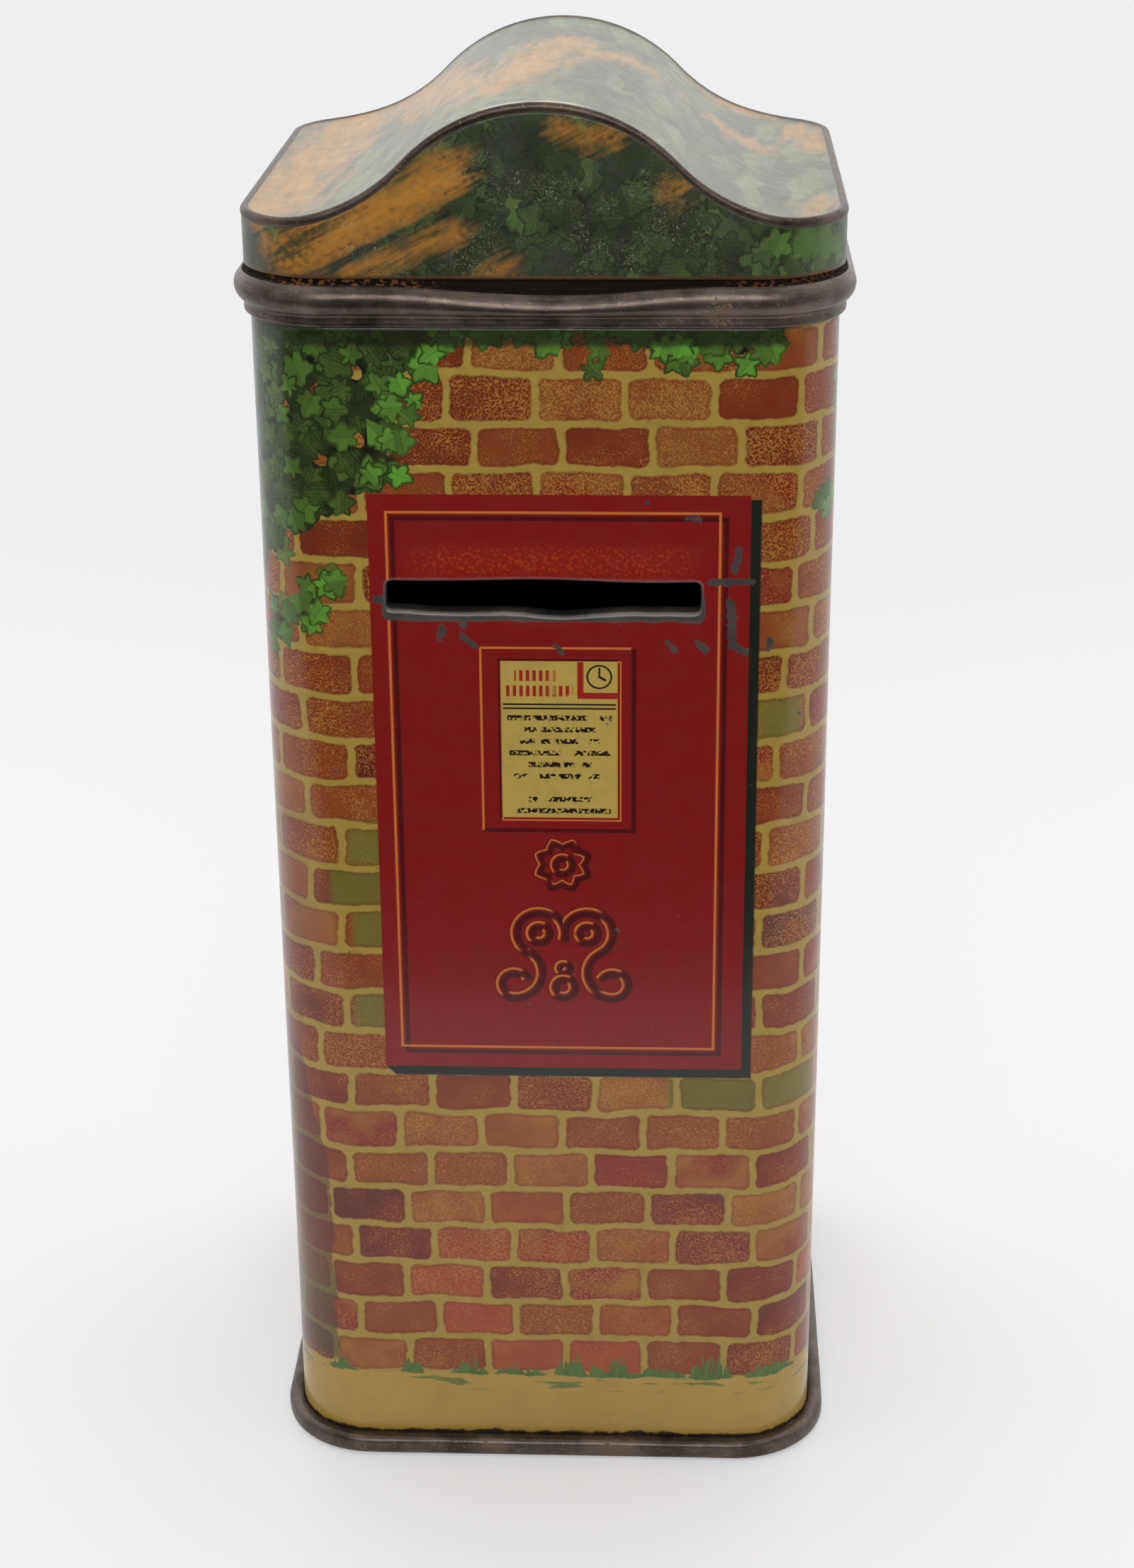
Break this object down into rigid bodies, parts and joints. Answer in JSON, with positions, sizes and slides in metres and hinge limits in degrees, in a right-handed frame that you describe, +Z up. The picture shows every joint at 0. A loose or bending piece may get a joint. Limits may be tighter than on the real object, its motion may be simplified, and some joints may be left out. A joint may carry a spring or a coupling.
{
  "type": "tin money box",
  "caption": "Tall square printed-tin money box with a coin slot in the front, a beaded collar and a wave-topped lid that lifts off.",
  "frame": {"origin": "bottom centre of the rolled base rim, on the surface the box stands on", "axes": "+Z up; the coin slot faces -Y; +X is to the right for someone facing the slot"},
  "size_m": [0.0636, 0.0636, 0.1553],
  "materials": {
    "printed_wrap": "glossy lithographed brickwork print, lightly worn",
    "bare_tinplate": "dull tarnished tinplate with rust specks",
    "bare_base": "dull tarnished tinplate",
    "printed_lid": "glossy lithographed foliage print, scratched",
    "printed_lid_top": "glossy lithographed foliage print, faded"
  },
  "bodies": {
    "tin": {"body_wall": "printed_wrap", "neck_ring": "bare_tinplate", "base_plate": "bare_base"},
    "lid": {"lid_wall": "printed_lid", "lid_top": "printed_lid_top"}
  },
  "joints": [
    {"name": "lid_lift", "type": "slide", "parent": "tin", "child": "lid", "axis": [0, 0, 1], "range_m": [0, 0.03]}
  ]
}
